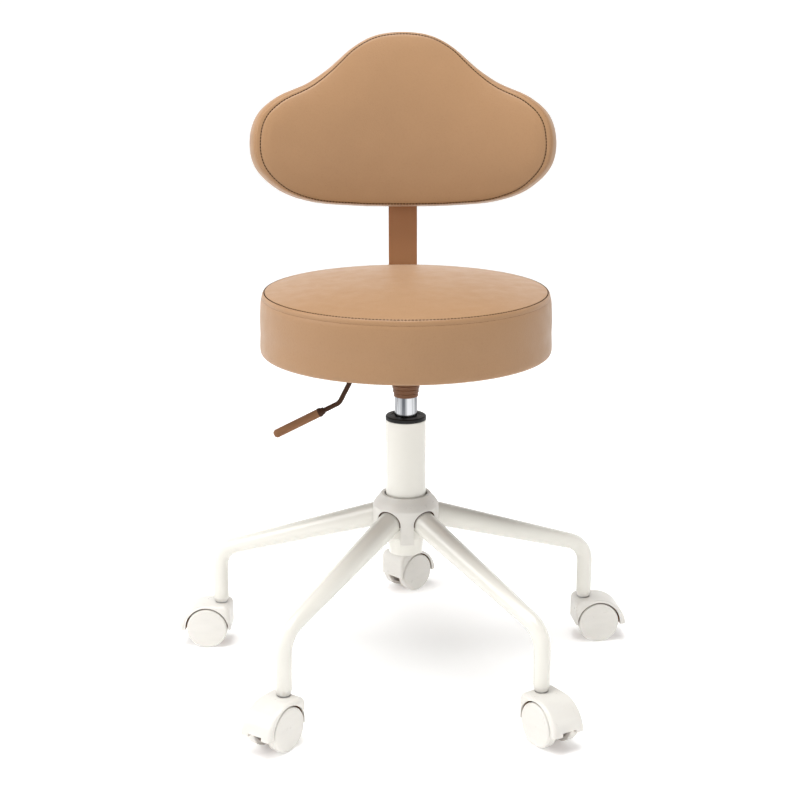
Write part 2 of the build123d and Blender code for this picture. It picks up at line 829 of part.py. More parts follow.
def make_back_bracket():
    """One flat bar that runs back under the seat, bends up and leans away behind it."""
    lean = math.radians(BACK_LEAN)
    plane_z = PLATE_HIGH - BAR_THICK
    top = back_plane().origin + back_plane().y_dir * BAR_LENGTH
    heel_y = BAR_FACE_Y + (PLATE_HIGH - SEAT_LOW) * math.tan(lean) + BAR_THICK / math.cos(lean)
    with BuildPart() as bar:
        with BuildSketch(Plane.YZ):
            with BuildLine():
                outer = FilletPolyline(
                    (BAR_START_Y, plane_z),
                    (heel_y - BAR_THICK * math.tan(lean), plane_z),
                    (top.Y + BAR_THICK * math.cos(lean), top.Z - BAR_THICK * math.sin(lean)),
                    radius=BAR_BEND + BAR_THICK,
                )
                Line(outer @ 1, (top.Y, top.Z))
                inner = FilletPolyline(
                    (top.Y, top.Z),
                    (BAR_FACE_Y + (PLATE_HIGH - SEAT_LOW) * math.tan(lean), PLATE_HIGH),
                    (BAR_START_Y, PLATE_HIGH),
                    radius=BAR_BEND,
                )
                Line(inner @ 1, (BAR_START_Y, plane_z))
            make_face()
        extrude(amount=BAR_WIDTH / 2, both=True)
        with BuildSketch(Plane.XY.offset(plane_z - 1)):
            with Locations(*[(0, y) for y in BAR_BOLTS_Y]):
                Circle(BOLT_R + 0.3)
        extrude(amount=BAR_THICK + 2, mode=Mode.SUBTRACT)
        with BuildSketch(back_plane().offset(-BAR_THICK - 2)):
            with Locations(*[(0, s) for s in BACK_BOLTS]):
                Circle(BOLT_R + 0.3)
        extrude(amount=BAR_THICK + 4, mode=Mode.SUBTRACT)
    save(bar, "back_bracket")


def back_outline(inset):
    """Front outline of the backrest: a domed top, hollow shoulders and two round lobes."""
    narrower = 1 - inset / BACK_HALF
    height = BACK_HEIGHT - 2 * inset
    right = [(x * narrower, inset + share * height) for x, share in BACK_OUTLINE]
    left = [(-x, y) for x, y in reversed(right[1:-1])]
    with BuildSketch() as face:
        with BuildLine():
            Spline(*right, *left, periodic=True)
        make_face()
    return face.sketch


def back_slab(near, far, inset, mode=Mode.ADD):
    """A wrapped slab of the backrest between two depths in front of the bar's face."""
    plane = back_plane(BACK_BOTTOM)
    outline = plane * back_outline(inset)
    below = back_plane(BACK_BOTTOM - 20).origin
    with BuildSketch(Plane(origin=below, x_dir=(1, 0, 0), z_dir=plane.y_dir)) as ring:
        with Locations((0, -BACK_WRAP_R)):
            Circle(BACK_WRAP_R - near)
            Circle(BACK_WRAP_R - far, mode=Mode.SUBTRACT)
        with Locations((0, -BACK_WRAP_R)):
            Rectangle(3 * BACK_WRAP_R, 2 * BACK_WRAP_R * math.cos(math.radians(28)), mode=Mode.SUBTRACT)
    with BuildPart(mode=Mode.PRIVATE) as slab:
        extrude(outline, amount=140)
        extrude(ring.sketch, amount=BACK_HEIGHT + 40, mode=Mode.INTERSECT)
    add(slab.part, mode=mode)


def back_bolt_holes(radius, near, far):
    """Cut clearance for the backrest's bolts between two depths."""
    with BuildSketch(back_plane().offset(near)) as holes:
        with Locations(*[(0, s) for s in BACK_BOLTS]):
            Circle(radius)
    extrude(holes.sketch, amount=far - near, mode=Mode.SUBTRACT)


def make_backrest_board():
    with BuildPart() as board:
        back_slab(SKIN + 0.4, SKIN + 0.4 + BACK_BOARD, 12)
        back_bolt_holes(4.1, -1, 16)
    save(board, "backrest_board")


def make_backrest_foam():
    with BuildPart() as foam:
        back_slab(SKIN + 2.2 + BACK_BOARD, BACK_DEPTH - SKIN - 0.3, SKIN + 0.6)
    save(foam, "backrest_foam")


def make_backrest_cover():
    with BuildPart() as cover:
        back_slab(0.25, BACK_DEPTH, 0)
        back_slab(0.25 + SKIN, BACK_DEPTH - SKIN, SKIN, mode=Mode.SUBTRACT)
        back_bolt_holes(4.5, -2, 4)
    save(cover, "backrest_cover")


def make_back_bolts():
    with BuildPart() as bolts:
        with BuildSketch(back_plane().offset(-BAR_THICK - 4)):
            with Locations(*[(0, s) for s in BACK_BOLTS]):
                RegularPolygon(5.6, 6)
        extrude(amount=4 - 0.02)
        with BuildSketch(back_plane().offset(-BAR_THICK - 1)):
            with Locations(*[(0, s) for s in BACK_BOLTS]):
                Circle(BOLT_R)
        extrude(amount=BAR_THICK + 12)
    save(bolts, "backrest_bolts")


os.makedirs("parts", exist_ok=True)

make_column_tube()
make_guide_bush()
make_thrust_bearing()
make_hub_sleeve()
make_legs()
make_hub_cover()
make_leg_inserts()
make_caster_stems()
for leg_name in LEG_NAMES:
    make_hood(leg_name)
    make_caster_body(leg_name)
    make_axle(leg_name)
    make_wheels(leg_name)
make_gas_cylinder()
make_piston_rod()
make_rod_clip()
make_stop_buffer()
make_release_button()
make_taper_socket()
make_seat_plate()
make_lever_pin()
make_lever_rod()
make_lever_grip()
make_seat_cover()
make_seat_foam()
make_seat_board()
make_dust_cover()
make_staples()
make_tee_nuts()
upward_bolts(bolt_places()[:4], PLATE_HIGH - PLATE_THICK, "plate_bolts")
upward_bolts(bolt_places()[4:], PLATE_HIGH - BAR_THICK, "bracket_bolts")
make_back_bracket()
make_backrest_board()
make_backrest_foam()
make_backrest_cover()
make_back_bolts()
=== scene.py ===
"""Looks of the rolling stylist stool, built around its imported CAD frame. Metres."""
import bpy
import json
import math
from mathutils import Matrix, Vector, noise
from mathutils.bvhtree import BVHTree


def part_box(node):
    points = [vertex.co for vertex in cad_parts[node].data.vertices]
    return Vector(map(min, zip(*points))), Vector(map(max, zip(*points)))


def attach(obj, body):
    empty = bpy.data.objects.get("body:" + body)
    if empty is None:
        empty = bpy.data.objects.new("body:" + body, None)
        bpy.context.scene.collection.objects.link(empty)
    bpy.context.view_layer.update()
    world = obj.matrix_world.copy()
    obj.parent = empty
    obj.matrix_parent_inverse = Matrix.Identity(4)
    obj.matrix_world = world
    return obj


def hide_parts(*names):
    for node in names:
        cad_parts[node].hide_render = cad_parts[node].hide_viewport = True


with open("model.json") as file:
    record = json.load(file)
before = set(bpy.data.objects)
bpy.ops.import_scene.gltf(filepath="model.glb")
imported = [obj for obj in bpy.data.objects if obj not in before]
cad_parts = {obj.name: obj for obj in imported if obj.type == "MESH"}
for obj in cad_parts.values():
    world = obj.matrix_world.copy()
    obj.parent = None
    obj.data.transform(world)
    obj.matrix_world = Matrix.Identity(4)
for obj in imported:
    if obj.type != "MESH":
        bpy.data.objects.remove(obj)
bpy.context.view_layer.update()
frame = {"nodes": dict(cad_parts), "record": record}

MM = 0.001
UP = Vector((0, 0, 1))
CASTERS = ["rear", "left_rear", "left_front", "right_front", "right_rear"]


# ---------------------------------------------------------------- materials


class Shader:
    """A node material on object coordinates, which ride with the body."""

    def __init__(self, name, roughness, metallic=0.0):
        self.material = bpy.data.materials.new(name)
        self.material.use_nodes = True
        self.nodes = self.material.node_tree.nodes
        self.links = self.material.node_tree.links
        self.bsdf = self.nodes["Principled BSDF"]
        self.bsdf.inputs["Roughness"].default_value = roughness
        self.bsdf.inputs["Metallic"].default_value = metallic
        self.place = self.nodes.new("ShaderNodeTexCoord").outputs["Object"]
        self.last_bump = None

    def link(self, source, target):
        self.links.new(source, target)

    def stretched(self, scale):
        """Object coordinates stretched by a scale on each axis."""
        node = self.nodes.new("ShaderNodeMapping")
        node.inputs["Scale"].default_value = scale
        self.link(self.place, node.inputs["Vector"])
        return node.outputs["Vector"]

    def noise(self, scale, detail=3.0, roughness=0.5, place=None, distortion=0.0):
        node = self.nodes.new("ShaderNodeTexNoise")
        node.inputs["Scale"].default_value = scale
        node.inputs["Detail"].default_value = detail
        node.inputs["Roughness"].default_value = roughness
        node.inputs["Distortion"].default_value = distortion
        self.link(place or self.place, node.inputs["Vector"])
        return node.outputs["Fac"]

    def cells(self, scale, feature="F1", place=None, output="Distance"):
        node = self.nodes.new("ShaderNodeTexVoronoi")
        node.feature = feature
        node.inputs["Scale"].default_value = scale
        self.link(place or self.place, node.inputs["Vector"])
        return node.outputs[output]

    def warped(self, scale, amount):
        """Object coordinates pushed about by noise, so that cells lose their regular look."""
        field = self.nodes.new("ShaderNodeTexNoise")
        field.inputs["Scale"].default_value = scale
        self.link(self.place, field.inputs["Vector"])
        push = self.nodes.new("ShaderNodeVectorMath")
        push.operation = "SCALE"
        push.inputs["Scale"].default_value = amount
        self.link(field.outputs["Color"], push.inputs[0])
        total = self.nodes.new("ShaderNodeVectorMath")
        total.operation = "ADD"
        self.link(self.place, total.inputs[0])
        self.link(push.outputs["Vector"], total.inputs[1])
        return total.outputs["Vector"]

    def math(self, operation, first, second=None):
        node = self.nodes.new("ShaderNodeMath")
        node.operation = operation
        for index, value in enumerate((first, second)):
            if value is None:
                continue
            if isinstance(value, (int, float)):
                node.inputs[index].default_value = value
            else:
                self.link(value, node.inputs[index])
        return node.outputs[0]

    def spread(self, value, low, high, from_low=0.3, from_high=0.7):
        node = self.nodes.new("ShaderNodeMapRange")
        node.inputs["From Min"].default_value = from_low
        node.inputs["From Max"].default_value = from_high
        node.inputs["To Min"].default_value = low
        node.inputs["To Max"].default_value = high
        self.link(value, node.inputs["Value"])
        return node.outputs["Result"]

    def blend(self, factor, first, second):
        """Colour between two colours; each is a tuple or a socket."""
        node = self.nodes.new("ShaderNodeMix")
        node.data_type = "RGBA"
        self.link(factor, node.inputs["Factor"])
        for key, value in (("A", first), ("B", second)):
            socket = [s for s in node.inputs if s.name == key and s.type == "RGBA"][0]
            if isinstance(value, tuple):
                socket.default_value = (*value, 1.0)
            else:
                self.link(value, socket)
        return [s for s in node.outputs if s.type == "RGBA"][0]

    def bump(self, height, strength, depth):
        """Add one layer of relief; depth is its height in metres."""
        node = self.nodes.new("ShaderNodeBump")
        node.inputs["Strength"].default_value = strength
        node.inputs["Distance"].default_value = depth
        self.link(height, node.inputs["Height"])
        if self.last_bump is not None:
            self.link(self.last_bump, node.inputs["Normal"])
        self.last_bump = node.outputs["Normal"]
        self.link(self.last_bump, self.bsdf.inputs["Normal"])

    def set(self, name, value):
        socket = self.bsdf.inputs[name]
        if isinstance(value, (int, float)):
            socket.default_value = value
        elif isinstance(value, tuple):
            socket.default_value = (*value, 1.0)
        else:
            self.link(value, socket)


def shade(colour, share):
    """A colour made lighter or darker by a share."""
    return tuple(min(1.0, channel * share) for channel in colour)


def leatherette(name, colour):
    """Coated upholstery: pebbled grain, faint creases, uneven gloss and painted shade in the seam folds."""
    s = Shader(name, 0.46)
    warped = s.warped(260, 0.0016)
    pebbles = s.cells(620, "SMOOTH_F1", warped)
    fine = s.noise(1900, 2.0, 0.6)
    creases = s.noise(34, 5.0, 0.62, distortion=0.6)
    mottle = s.noise(9, 4.0, 0.55)
    tone = s.blend(s.spread(mottle, 0, 1), shade(colour, 0.97), shade(colour, 1.025))
    pits = s.spread(pebbles, 0.0, 0.16, 0.45, 0.85)
    grained = s.blend(pits, tone, shade(colour, 0.66))
    # Painted shade: the vertices in the seam folds get a much darker colour, for the shade in the sewn
    # creases.
    fold = s.nodes.new("ShaderNodeAttribute")
    fold.attribute_name = "fold"
    painted_fold_shade = s.spread(fold.outputs["Fac"], 0.0, 0.85, 0.15, 0.95)
    fold_shade_colour = (colour[0] * 0.30, colour[1] * 0.24, colour[2] * 0.20)
    s.set("Base Color", s.blend(painted_fold_shade, grained, fold_shade_colour))
    s.set("Roughness", s.spread(s.noise(55, 4.0), 0.40, 0.50))
    s.set("Specular IOR Level", 0.36)
    s.set("Sheen Weight", 0.12)
    s.set("Sheen Roughness", 0.4)
    s.bump(creases, 0.05, 0.0012)
    s.bump(s.math("SUBTRACT", 1.0, pebbles), 0.34, 0.00045)
    s.bump(fine, 0.08, 0.0002)
    return s.material


def powder_coat(name, colour, roughness, peel=0.10, gloss=0.5, coat=0.0):
    """Baked paint: fine orange peel, slow waviness, a little handling wear."""
    s = Shader(name, roughness)
    tone = s.spread(s.noise(14, 3.0), 0, 1)
    s.set("Base Color", s.blend(tone, shade(colour, 0.992), shade(colour, 1.004)))
    s.set("Roughness", s.spread(s.noise(48, 4.0), roughness - 0.01, roughness + 0.02))
    s.set("Specular IOR Level", gloss)
    s.set("Coat Weight", coat)
    s.set("Coat Roughness", 0.15)
    s.bump(s.noise(22, 2.0), 0.004, 0.0012)
    s.bump(s.noise(760, 2.0, 0.45), peel, 0.00030)
    return s.material


def moulded(name, colour, roughness, texture=0.06, subsurface=0.0, gloss=0.5):
    """Injection-moulded plastic: flow marks, light spark texture, handling wear."""
    s = Shader(name, roughness)
    flow = s.noise(30, 3.0, 0.5, s.stretched((1.0, 1.0, 3.5)))
    s.set("Base Color", s.blend(s.spread(flow, 0, 1), shade(colour, 0.965), shade(colour, 1.02)))
    wear = s.noise(90, 6.0, 0.7)
    s.set("Roughness", s.spread(wear, roughness - 0.05, roughness + 0.12))
    s.set("Specular IOR Level", gloss)
    if subsurface:
        s.set("Subsurface Weight", subsurface)
        s.bsdf.inputs["Subsurface Radius"].default_value = (0.004, 0.003, 0.002)
        s.bsdf.inputs["Subsurface Scale"].default_value = 0.5
    s.bump(s.noise(1500, 2.0, 0.5), texture, 0.0003)
    s.bump(s.noise(40, 2.0), 0.04, 0.0008)
    return s.material


def plated(name, colour, roughness, brush, brush_scale):
    """Metal with a directional finish, handling smudges and small pits."""
    s = Shader(name, roughness, 1.0)
    lines = s.noise(1.0, 3.0, 0.6, s.stretched(brush_scale))
    smudge = s.noise(38, 5.0, 0.6)
    s.set("Base Color", s.blend(s.spread(smudge, 0, 1), shade(colour, 0.9), colour))
    smudged = s.spread(smudge, roughness * 0.7, roughness * 1.6)
    s.set("Roughness", s.math("ADD", smudged, s.spread(lines, 0, roughness)))
    s.bump(lines, brush, 0.0002)
    s.bump(s.spread(s.cells(900), 1, 0, 0.02, 0.06), 0.05, 0.0002)
    return s.material


def chrome_with_painted_reflections(name):
    """Hard chrome on a drawn tube with painted reflections: bright and dark bands along it, and light
    smudges.
    """
    s = Shader(name, 0.12, 1.0)
    reflection_bands = s.noise(1.0, 3.0, 0.55, s.stretched((85, 85, 3)))
    smudge = s.noise(60, 4.0, 0.6)
    # Painted reflection: the dark and bright colours stand in for the surroundings mirrored along the tube.
    dark, bright = (0.055, 0.06, 0.07), (0.56, 0.57, 0.59)
    s.set("Base Color", s.blend(s.spread(reflection_bands, 0, 1, 0.38, 0.60), dark, bright))
    s.set("Roughness", s.spread(smudge, 0.07, 0.16))
    s.bump(s.noise(1.0, 2.0, 0.5, s.stretched((30, 30, 900))), 0.02, 0.0002)
    return s.material


def plywood(name):
    """Birch ply: layered edge and long grain on the face."""
    s = Shader(name, 0.62)
    layers = s.nodes.new("ShaderNodeTexWave")
    layers.bands_direction = "Z"
    layers.inputs["Scale"].default_value = 210
    layers.inputs["Distortion"].default_value = 1.2
    s.link(s.place, layers.inputs["Vector"])
    grain = s.noise(1.0, 6.0, 0.6, s.stretched((180, 14, 60)))
    face = s.blend(s.spread(grain, 0, 1), (0.62, 0.44, 0.26), (0.78, 0.62, 0.42))
    s.set("Base Color", s.blend(s.spread(layers.outputs["Fac"], 0, 0.45), face, (0.42, 0.27, 0.15)))
    s.set("Roughness", s.spread(grain, 0.52, 0.72))
    s.bump(grain, 0.2, 0.0004)
    return s.material


def spunbond(name):
    """Black non-woven dust cover with bonded points."""
    s = Shader(name, 0.92)
    fibres = s.noise(1.0, 6.0, 0.75, s.stretched((900, 240, 900)))
    points = s.spread(s.cells(520), 1, 0, 0.18, 0.42)
    s.set("Base Color", s.blend(s.spread(fibres, 0, 1), (0.016, 0.015, 0.014), (0.05, 0.047, 0.044)))
    s.set("Roughness", s.spread(fibres, 0.8, 0.98))
    s.bump(points, 0.35, 0.0003)
    s.bump(fibres, 0.3, 0.0002)
    return s.material


def thread(name, colour):
    """Twisted polyester thread."""
    s = Shader(name, 0.8)
    s.set("Specular IOR Level", 0.08)
    twist = s.noise(2600, 2.0)
    s.set("Base Color", s.blend(s.spread(twist, 0, 1), shade(colour, 0.7), shade(colour, 1.2)))
    s.bump(twist, 0.4, 0.0002)
    return s.material


def studio_paper(name):
    """White paper that glows a little more the further it is from the object."""
    s = Shader(name, 0.85)
    cloudy = s.spread(s.noise(2.0, 3.0), 0, 1)
    s.set("Base Color", s.blend(cloudy, (0.93, 0.93, 0.93), (0.95, 0.95, 0.95)))
    s.set("Emission Color", (1.0, 0.995, 0.985))
    reach = s.nodes.new("ShaderNodeVectorMath")
    reach.operation = "LENGTH"
    s.link(s.place, reach.inputs[0])
    s.set("Emission Strength", s.spread(reach.outputs["Value"], 0.24, 0.40, 0.5, 3.0))
    s.bump(s.noise(300, 2.0), 0.02, 0.0005)
    return s.material


TAN = (0.318, 0.180, 0.088)
CREAM = (0.69, 0.673, 0.618)
BRASS_BROWN = (0.350, 0.160, 0.068)

materials = {
    "tan_leather": leatherette("tan_leatherette", TAN),
    "brown_metal": powder_coat("brown_powder_coat", BRASS_BROWN, 0.42, 0.10, 0.28),
    "cream_metal": powder_coat("cream_powder_coat", CREAM, 0.24, 0.05, 0.5, 0.35),
    "white_plastic": moulded("white_nylon", (0.66, 0.64, 0.60), 0.30, 0.05, 0.05),
    # Brown nylon for the casters' inner parts; its warm colour also paints the shade deep inside the caster
    # gaps.
    "brown_plastic": moulded("brown_nylon_and_gap_shade", (0.34, 0.125, 0.035), 0.50, 0.10, 0.0, 0.25),
    "tan_plastic": moulded("tan_grip", (0.20, 0.092, 0.040), 0.48, 0.12, 0.0, 0.25),
    "black_plastic": moulded("black_acetal", (0.008, 0.008, 0.008), 0.42, 0.06, 0.0, 0.2),
    "black_rubber": moulded("black_rubber", (0.02, 0.02, 0.02), 0.75, 0.2),
    "chrome": chrome_with_painted_reflections("polished_chrome"),
    "steel": plated("zinc_plate", (0.56, 0.56, 0.55), 0.30, 0.12, (500, 500, 500)),
    "plywood": plywood("birch_plywood"),
    "dust_fabric": spunbond("dust_cover_fabric"),
    "foam": moulded("foam", (0.80, 0.74, 0.55), 0.9, 0.5),
}
# Painted shade: the dark line laid in the seams' creases, drawn with the thread shader.
seam_shadow = thread("seam_fold_shade", (0.12, 0.056, 0.025))
stitch_thread = thread("brown_thread", (0.030, 0.012, 0.005))
# Painted shade: near-black nylon for the arcs laid in the gaps of the leg openings.
root_shade_nylon = moulded("painted_root_shade", (0.060, 0.024, 0.011), 0.55, 0.08, 0.0, 0.15)

# Nodes given darker copies of their slot's paint: painted shade for the lever rod and taper socket under
# the seat.
darker = {
    "lever_rod": powder_coat("shaded_brown_powder_coat", (0.045, 0.018, 0.008), 0.42, 0.08, 0.15),
    "taper_socket": powder_coat("shaded_socket_powder_coat", (0.155, 0.068, 0.031), 0.42, 0.10, 0.24),
}


def dress_cad_nodes():
    """Give every CAD node the detailed material of its slot."""
    for part in frame["record"]["subparts"]:
        node = frame["nodes"][part["node"]]
        for holder in node.material_slots:
            holder.material = darker.get(part["node"], materials[part["material_slot"]])


# ---------------------------------------------------------------- cushion meshes


def mesh_object(name, points, faces, material, smooth=True):
    mesh = bpy.data.meshes.new(name)
    mesh.from_pydata([tuple(p) for p in points], [], faces)
    mesh.update()
    mesh.polygons.foreach_set("use_smooth", [smooth] * len(mesh.polygons))
    mesh.materials.append(material)
    piece = bpy.data.objects.new(name, mesh)
    bpy.context.scene.collection.objects.link(piece)
    return piece


def disc_share(a, b):
    """Square grid position, each from -1 to 1, to a disc's radius share and turn."""
    if a == 0 and b == 0:
        return 0.0, 0.0
    if abs(a) >= abs(b):
        radius, angle = a, math.pi / 4 * b / a
    else:
        radius, angle = b, math.pi / 2 - math.pi / 4 * a / b
    x, y = radius * math.cos(angle), radius * math.sin(angle)
    return math.hypot(x, y), math.atan2(y, x) / (2 * math.pi) % 1.0


def cap_grid(n, surface, points, faces, flip):
    """Add a disc of n by n quads; returns its rim, which starts an eighth of a turn early."""
    first = len(points)
    for row in range(n + 1):
        for column in range(n + 1):
            share, turn = disc_share(2 * column / n - 1, 2 * row / n - 1)
            points.append(surface(share, turn))

    def index(column, row):
        return first + row * (n + 1) + column

    for row in range(n):
        for column in range(n):
            near = [index(column, row), index(column + 1, row)]
            far = [index(column + 1, row + 1), index(column, row + 1)]
            quad = near + far
            faces.append(quad[::-1] if flip else quad)
    rim = [index(n, k) for k in range(n)]
    rim += [index(n - k, n) for k in range(n)]
    rim += [index(0, n - k) for k in range(n)]
    rim += [index(k, 0) for k in range(n)]
    return rim


def rim_turns(n):
    return [(k / (4 * n) - 0.125) % 1.0 for k in range(4 * n)]


def cushion_mesh(name, n, front_cap, rings, back_cap, material):
    """A stuffed form: a front cap, rings of points down its side, and a back cap if it has one.
    Returns the piece and, for each ring, the indices of its vertices."""
    points, faces, ring_rows = [], [], []
    previous = cap_grid(n, front_cap, points, faces, False)
    ring_rows.append(previous)
    for ring in rings:
        first = len(points)
        points.extend(ring(turn) for turn in rim_turns(n))
        row = list(range(first, first + 4 * n))
        for k in range(4 * n):
            following = (k + 1) % (4 * n)
            faces.append([previous[k], row[k], row[following], previous[following]])
        previous = row
        ring_rows.append(row)
    if back_cap is not None:
        rim = cap_grid(n, back_cap, points, faces, True)
        for k in range(4 * n):
            following = (k + 1) % (4 * n)
            faces.append([previous[k], rim[k], rim[following], previous[following]])
        ring_rows.append(rim)
    return mesh_object(name, points, faces, material), ring_rows


def ring_places(piece, rows, number):
    """Where the vertices of one ring of a cushion's profile are now."""
    return [piece.data.vertices[i].co.copy() for i in rows[1 + number]]


def mark_folds(piece, rows, profile):
    """Where the cover is drawn in by a seam, for the painted shade in its folds."""
    marks = [0.0] * len(piece.data.vertices)
    for k, spec in enumerate(profile):
        if spec[3] and spec[2] == 0.0:
            for i in rows[1 + k]:
                marks[i] = 1.0
    layer = piece.data.attributes.new("fold", "FLOAT", "POINT")
    layer.data.foreach_set("value", marks)


COVER_STIFFNESS = 18.0
COVER_PRESSURE = 3.0
SETTLING_FRAMES = 20
SMOOTHING_ROUNDS = 14


def smoothed(piece, shifts, pinned):
    """Even out the settled cover's small ripples, so that the panel stays as taut as it is sewn."""
    neighbours = [[] for _ in shifts]
    for edge in piece.data.edges:
        first, second = edge.vertices
        neighbours[first].append(second)
        neighbours[second].append(first)
    held = set(pinned)
    for _ in range(SMOOTHING_ROUNDS):
        averaged = []
        for i, around in enumerate(neighbours):
            if i in held:
                averaged.append(shifts[i])
            else:
                total = sum((shifts[k] for k in around), Vector())
                averaged.append(shifts[i] * 0.4 + total * (0.6 / len(around)))
        shifts = averaged
    return shifts


def inflate(piece, pinned, cap):
    """Let the cover bulge and settle as cloth under the foam's push, held where it is sewn."""
    rest = [v.co.copy() for v in piece.data.vertices]
    group = piece.vertex_groups.new(name="sewn")
    group.add(pinned, 1.0, "ADD")
    cloth = piece.modifiers.new("cloth", "CLOTH")
    settings = cloth.settings
    settings.quality = 6
    settings.mass = 0.4
    settings.tension_stiffness = COVER_STIFFNESS
    settings.compression_stiffness = COVER_STIFFNESS
    settings.shear_stiffness = COVER_STIFFNESS * 0.4
    settings.bending_stiffness = 1.2
    settings.use_pressure = True
    settings.uniform_pressure_force = COVER_PRESSURE
    settings.vertex_group_mass = "sewn"
    settings.effector_weights.gravity = 0.0
    cloth.collision_settings.use_self_collision = False
    scene = bpy.context.scene
    for step in range(1, SETTLING_FRAMES + 1):
        scene.frame_set(step)
    evaluated = piece.evaluated_get(bpy.context.evaluated_depsgraph_get())
    moved = [v.co.copy() for v in evaluated.data.vertices]
    piece.modifiers.remove(cloth)
    piece.vertex_groups.clear()
    shifts = [end - start for start, end in zip(rest, moved)]
    shifts = [shift.normalized() * cap if shift.length > cap else shift for shift in shifts]
    for vertex, start, shift in zip(piece.data.vertices, rest, smoothed(piece, shifts, pinned)):
        vertex.co = start + shift
    scene.frame_set(1)


def subdivide(piece):
    """Apply one smoothing subdivision."""
    modifier = piece.modifiers.new("smooth", "SUBSURF")
    modifier.levels = 1
    modifier.render_levels = 1
    evaluated = piece.evaluated_get(bpy.context.evaluated_depsgraph_get())
    finer = bpy.data.meshes.new_from_object(evaluated)
    piece.modifiers.remove(modifier)
    piece.data = finer
    finer.polygons.foreach_set("use_smooth", [True] * len(finer.polygons))


def surface_of(piece):
    """A search tree for the nearest point of a piece's surface."""
    mesh = piece.data
    return BVHTree.FromPolygons([v.co for v in mesh.vertices], [p.vertices for p in mesh.polygons])


STITCH_PITCH = 4.0 * MM
STITCH_LENGTH = 3.0 * MM
STITCH_SINK = 0.05 * MM
STITCH_FORM = [(-0.5, 0.0), (-0.38, 0.75), (0.0, 1.0), (0.38, 0.75), (0.5, 0.0)]


def stitches(name, cushion, route, thick):
    """A row of separate stitches along a closed route, laid on the cushion's surface."""
    tree = surface_of(cushion)
    around = 6
    lengths = [0.0]
    closed = route + [route[0]]
    for start, end in zip(closed, closed[1:]):
        lengths.append(lengths[-1] + (end - start).length)
    count = round(lengths[-1] / STITCH_PITCH)
    points, faces = [], []
    segment = 0
    for number in range(count):
        along = lengths[-1] * (number + 0.5) / count
        while lengths[segment + 1] < along:
            segment += 1
        share = (along - lengths[segment]) / (lengths[segment + 1] - lengths[segment])
        guess = closed[segment].lerp(closed[segment + 1], share)
        forward = (closed[segment + 1] - closed[segment]).normalized()
        spot, normal, _, _ = tree.find_nearest(guess)
        forward = (forward - normal * forward.dot(normal)).normalized()
        side = normal.cross(forward)
        first = len(points)
        for reach, girth in STITCH_FORM:
            dip = STITCH_SINK * (1 + 5 * reach * reach)
            centre = spot + forward * reach * STITCH_LENGTH + normal * (thick * 0.35 - dip)
            for k in range(around):
                angle = 2 * math.pi * k / around
                across = side * math.cos(angle) * thick * girth
                proud = normal * math.sin(angle) * thick * girth * 0.8
                points.append(centre + (across + proud))
        for ring in range(len(STITCH_FORM) - 1):
            for k in range(around):
                following = (k + 1) % around
                low = first + ring * around
                faces.append([low + k, low + following, low + around + following, low + around + k])
    piece = mesh_object(name, points, faces, stitch_thread)
    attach(piece, "seat")


SEAM_SINK = 0.12 * MM


def seam_shade_line(name, cushion, route, radius):
    """Painted shade: a thin dark line that lies in the crease where two panels are sewn together, for the
    shade in the fold.
    """
    tree = surface_of(cushion)
    points, faces = [], []
    around = 5
    count = len(route)
    for k, guess in enumerate(route):
        forward = (route[(k + 1) % count] - route[k - 1]).normalized()
        spot, normal, _, _ = tree.find_nearest(guess)
        side = normal.cross(forward).normalized()
        for j in range(around):
            angle = 2 * math.pi * j / around
            girth = radius * (1 + 0.25 * noise.noise(spot * 160))
            offset = side * math.cos(angle) * girth + normal * (math.sin(angle) * girth - SEAM_SINK)
            points.append(spot + offset)
    for k in range(count):
        low, high = k * around, (k + 1) % count * around
        for j in range(around):
            following = (j + 1) % around
            faces.append([low + j, low + following, high + following, high + j])
    piece = mesh_object(name, points, faces, seam_shadow)
    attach(piece, "seat")


# ---------------------------------------------------------------- seat

SEAT_GRID = 56
seat_low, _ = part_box("seat_cover")
SEAM_R = 171.8 * MM
SEAM_Z = 487.8 * MM
CROWN_RISE = 10.6 * MM
CAP_R = 146 * MM


def crown_z(radius):
    """Height of the domed top panel."""
    share = min(1.0, radius / SEAM_R)
    return SEAM_Z + CROWN_RISE * (1 - share**2.7)


def pucker(turn, seed, pitch=64.0):
    """Uneven gathering along a sewn seam, from about -1 to 1."""
    angle = 2 * math.pi * turn
    place = Vector((math.cos(angle), math.sin(angle), 0)) * pitch / (2 * math.pi)
    broad = noise.noise(place * 1.6 + Vector((0, 0, seed)))
    narrow = noise.noise(place * 3.7 + Vector((0, 0, seed + 9)))
    return broad + 0.5 * narrow


def seat_point(radius, z, turn):
    angle = 2 * math.pi * turn
    return Vector((radius * math.cos(angle), radius * math.sin(angle), z))


